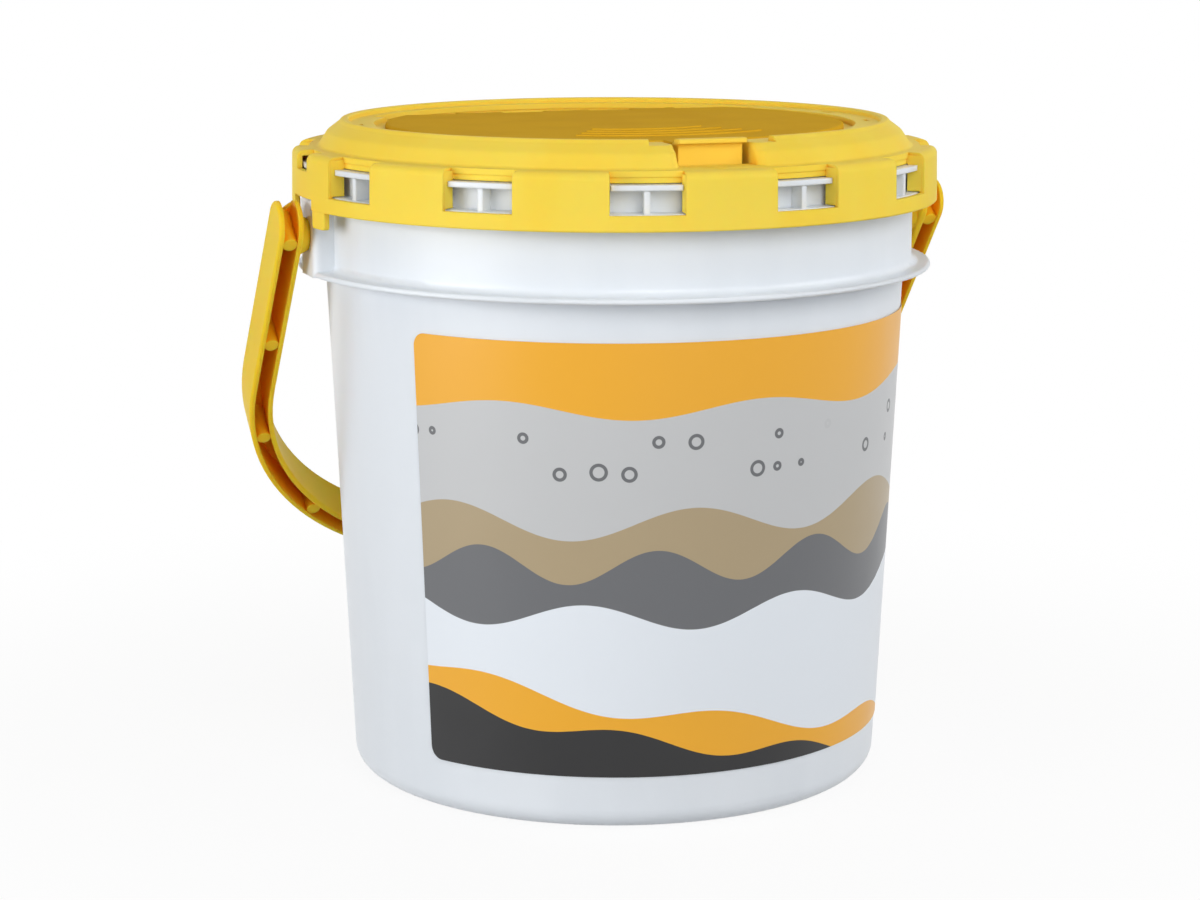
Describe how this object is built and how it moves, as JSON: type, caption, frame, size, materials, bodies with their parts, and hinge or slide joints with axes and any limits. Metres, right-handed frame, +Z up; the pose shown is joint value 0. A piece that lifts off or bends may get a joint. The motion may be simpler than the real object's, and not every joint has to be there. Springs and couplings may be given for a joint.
{
  "type": "insulated bait bucket",
  "caption": "Tapered white pail with a foam liner, a yellow snap-fit lid ring, a D-shaped hinged hatch with a thumb latch, and a swinging channel handle.",
  "frame": {"origin": "centre of the flat resting face under the bucket", "axes": "+Z up along the bucket's axis, -Y towards the thumb latch, +Y towards the hatch hinge, handle ears on +X and -X"},
  "size_m": [0.2734, 0.2526, 0.2562],
  "materials": {
    "pail_plastic": "white moulded polyethylene, soft sheen",
    "liner_foam": null,
    "label_film": null,
    "lid_plastic": "deep yellow moulded plastic, soft sheen",
    "hatch_plastic": "deep yellow moulded plastic, fine matt texture on top",
    "latch_plastic": "deep yellow moulded plastic, soft sheen",
    "bail_plastic": "deep yellow moulded plastic, soft sheen"
  },
  "bodies": {
    "bucket": {"bucket_shell": "pail_plastic", "foam_liner": "liner_foam", "wrap_label": "label_film"},
    "lid": {"lid_ring": "lid_plastic"},
    "hatch": {"hatch_cover": "hatch_plastic"},
    "latch": {"latch_tongue": "latch_plastic"},
    "bail": {"bail_handle": "bail_plastic"}
  },
  "joints": [
    {"name": "bail_swing", "type": "hinge", "parent": "bucket", "child": "bail", "pos_m": [0, 0, 0.215], "axis": [1, 0, 0], "range_deg": [0, 282.6]},
    {"name": "lid_lift", "type": "slide", "parent": "bucket", "child": "lid", "axis": [0, 0, 1], "range_m": [0, 0.08]},
    {"name": "hatch_hinge", "type": "hinge", "parent": "lid", "child": "hatch", "pos_m": [0, 0.059, 0.2504], "axis": [-1, 0, 0], "range_deg": [0, 110]},
    {"name": "latch_flex", "type": "hinge", "parent": "hatch", "child": "latch", "pos_m": [0, -0.097, 0.2533], "axis": [1, 0, 0], "range_deg": [0, 8], "stiffness_Nm_per_rad": 1.4}
  ]
}
